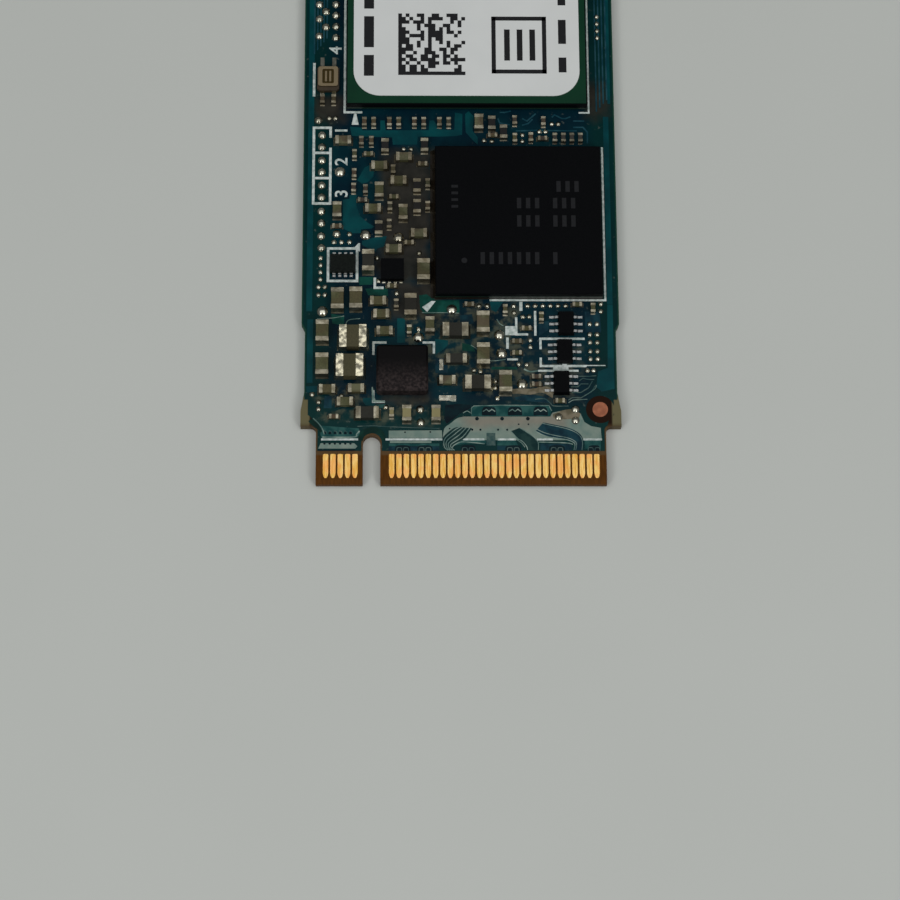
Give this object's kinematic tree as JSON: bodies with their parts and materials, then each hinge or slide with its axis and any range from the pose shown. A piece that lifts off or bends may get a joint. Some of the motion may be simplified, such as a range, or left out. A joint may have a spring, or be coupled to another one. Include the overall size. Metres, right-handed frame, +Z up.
{
  "type": "gumstick solid state drive",
  "caption": "Slim card-shaped solid state drive with a keyed gold edge connector, controller, flash packages under a label, chip parts and a half hole for a retaining screw.",
  "frame": {"origin": "centre of the card's underside, halfway between the contact edge and the screw end", "axes": "+Z up out of the component side, +Y from the contact edge towards the screw end, +X across the card with the keying notch at negative X"},
  "size_m": [0.022, 0.08, 0.002],
  "materials": {
    "laminate": "amber glass-fibre laminate with cut edges",
    "solder_mask": "teal solder mask, satin gloss, darker where there is no copper below",
    "gold_plate": "thin gold plate, bright",
    "bare_copper": "bare copper, matt",
    "silkscreen": "white ink",
    "package_substrate": "dark green laminate edge",
    "package_mould": "black moulding compound, fine grain",
    "solder": "reflowed solder, smooth and bright",
    "tinned_lead": "tinned lead frame",
    "resin": "dark brown underfill resin, glossy",
    "label_backing": "dark green film",
    "label_face": "white printed film, satin",
    "ferrite": "pressed ferrite, matt, fine grain",
    "crystal_base": "brown ceramic",
    "crystal_lid": "warm metal lid, satin",
    "capacitor_ceramic": "fired capacitor ceramic, olive to brown",
    "ferrite_chip": "dark grey ferrite ceramic",
    "resistor_glaze": "black glaze"
  },
  "bodies": {
    "root": {"laminate": "laminate", "solder_mask_top": "solder_mask", "solder_mask_bottom": "solder_mask", "contacts_top": "gold_plate", "contacts_bottom": "gold_plate", "screw_pad_top": "gold_plate", "screw_pad_bottom": "gold_plate", "fiducial_dot": "bare_copper", "silkscreen_frames": "silkscreen", "controller_substrate": "package_substrate", "controller_mould": "package_mould", "controller_solder_balls": "solder", "controller_underfill": "resin", "flash_1_substrate": "package_substrate", "flash_1_mould": "package_mould", "flash_1_solder_balls": "solder", "flash_2_substrate": "package_substrate", "flash_2_mould": "package_mould", "flash_2_solder_balls": "solder", "memory_substrate": "package_substrate", "memory_mould": "package_mould", "memory_solder_balls": "solder", "label_backing": "label_backing", "label_face": "label_face", "inductor_core": "ferrite", "inductor_terminals": "solder", "crystal_base": "crystal_base", "crystal_lid": "crystal_lid", "crystal_pads": "solder", "serial_memory_body": "package_mould", "serial_memory_leads": "tinned_lead", "regulator_body": "package_mould", "regulator_pads": "solder", "dual_transistor_1_body": "package_mould", "dual_transistor_1_leads": "tinned_lead", "dual_transistor_2_body": "package_mould", "dual_transistor_2_leads": "tinned_lead", "dual_transistor_3_body": "package_mould", "dual_transistor_3_leads": "tinned_lead", "bulk_capacitor_bodies": "capacitor_ceramic", "bulk_capacitor_terminals": "solder", "large_capacitor_bodies": "capacitor_ceramic", "large_capacitor_terminals": "solder", "medium_capacitor_bodies": "capacitor_ceramic", "medium_capacitor_terminals": "solder", "small_capacitor_bodies": "capacitor_ceramic", "small_capacitor_terminals": "solder", "choke_bodies": "ferrite_chip", "choke_terminals": "solder", "bead_bodies": "ferrite_chip", "bead_terminals": "solder", "resistor_bodies": "resistor_glaze", "resistor_terminals": "solder", "test_pad_solder": "solder", "probe_pad_solder": "solder", "via_solder": "solder"}
  },
  "joints": []
}
